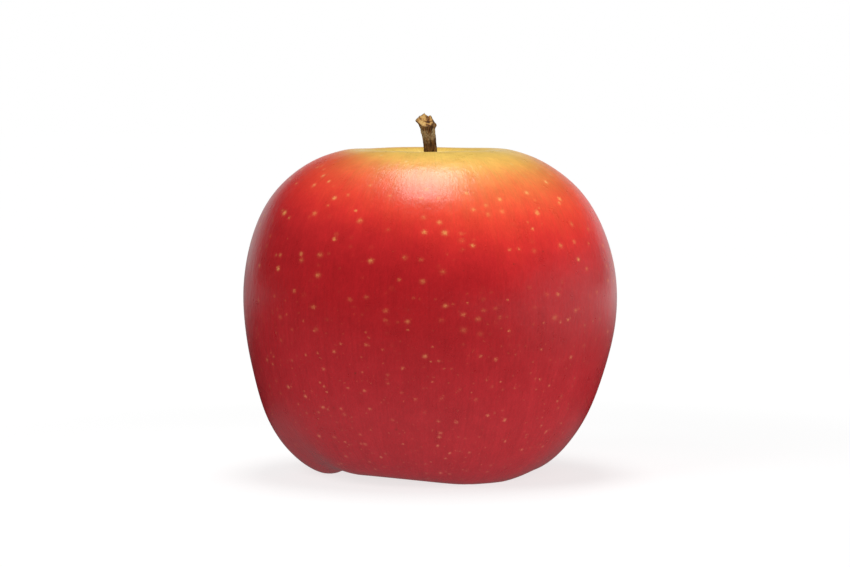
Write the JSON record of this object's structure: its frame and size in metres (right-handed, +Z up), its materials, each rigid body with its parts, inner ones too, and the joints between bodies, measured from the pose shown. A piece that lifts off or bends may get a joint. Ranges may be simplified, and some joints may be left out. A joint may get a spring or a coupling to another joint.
{
  "type": "red apple",
  "caption": "Whole ripe red apple with a short woody stem, standing on the feet of its lobed base, with dried sepals in the eye underneath.",
  "frame": {"origin": "under the middle of the fruit, on the surface that it stands on", "axes": "+Z up along the core towards the stem, -Y towards the side that is mostly seen, +X to the right of that side"},
  "size_m": [0.0762, 0.0748, 0.0734],
  "materials": {
    "skin": "thin waxy skin, satin gloss, red over yellow with pale spots",
    "bark": "dry bark with a broken end of paler wood",
    "dry_leaf": "dried, curled and downy",
    "dry_thread": "dried threads"
  },
  "bodies": {
    "root": {"fruit": "skin", "stem": "bark", "sepal_1": "dry_leaf", "sepal_2": "dry_leaf", "sepal_3": "dry_leaf", "sepal_4": "dry_leaf", "sepal_5": "dry_leaf", "stamen_tuft": "dry_thread"}
  },
  "joints": []
}
